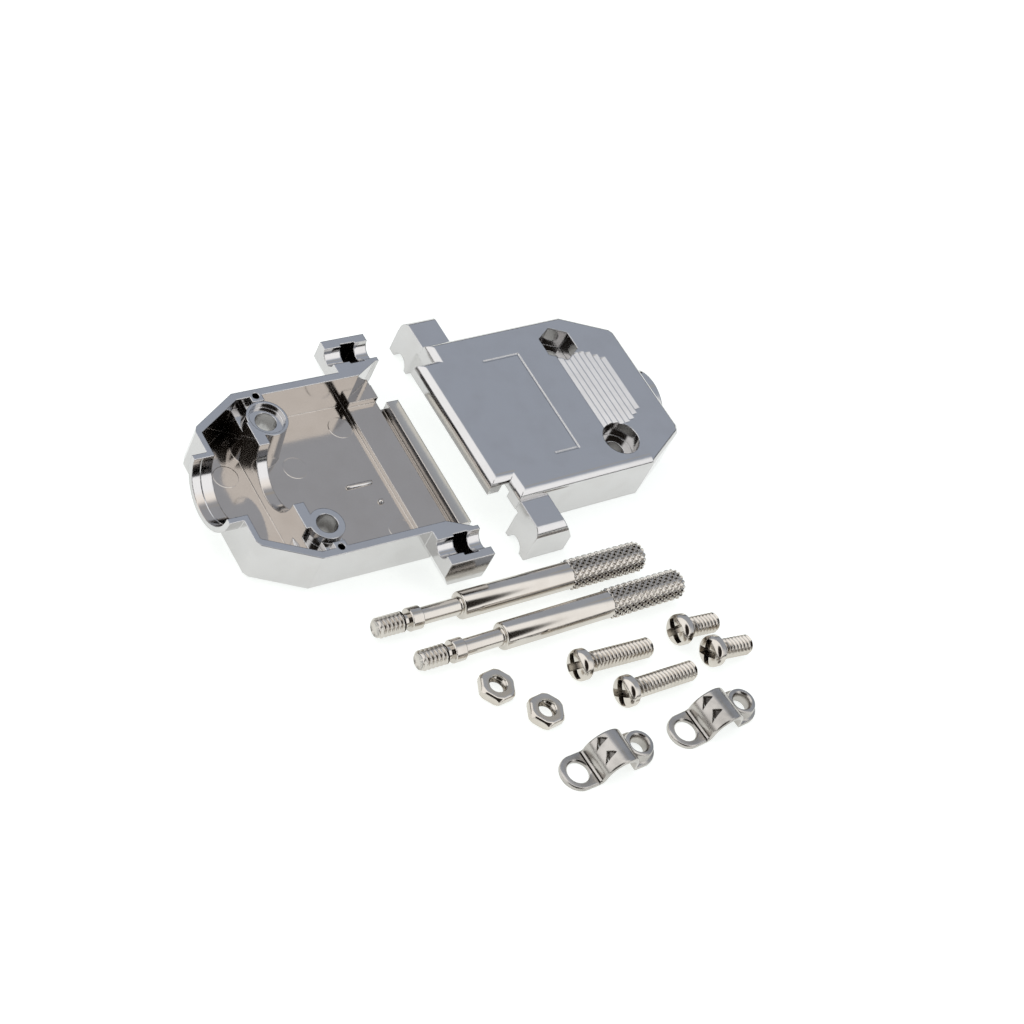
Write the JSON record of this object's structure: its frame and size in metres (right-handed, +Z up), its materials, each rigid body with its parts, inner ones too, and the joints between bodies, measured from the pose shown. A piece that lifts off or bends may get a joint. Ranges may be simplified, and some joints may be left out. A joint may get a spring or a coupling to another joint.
{
  "type": "d-sub connector hood",
  "caption": "Metal d-sub cable hood taken apart: plated half shells with ears and cable collar, thumbscrews, nuts, pan screws and arched cable clamps.",
  "frame": {"origin": "on the table under the middle of the whole layout", "axes": "+X along the hoods' length toward the cable end of the half lying outside up, +Y across toward the half shells, +Z up from the table"},
  "size_m": [0.0754, 0.0736, 0.0076],
  "materials": {
    "shell_plate": "bright nickel plate on die-cast zinc",
    "thumbscrew_plate": "nickel plate on turned and knurled steel",
    "screw_plate": "nickel plate on rolled steel",
    "clamp_plate": "satin nickel plate on stamped steel"
  },
  "bodies": {
    "root": {"shell_inside_up": "shell_plate", "shell_outside_up": "shell_plate", "thumbscrew_1": "thumbscrew_plate", "thumbscrew_2": "thumbscrew_plate", "nut_1": "screw_plate", "nut_2": "screw_plate", "housing_screw_1": "screw_plate", "housing_screw_2": "screw_plate", "clamp_screw_1": "screw_plate", "clamp_screw_2": "screw_plate", "cable_clamp_1": "clamp_plate", "cable_clamp_2": "clamp_plate"}
  },
  "joints": []
}
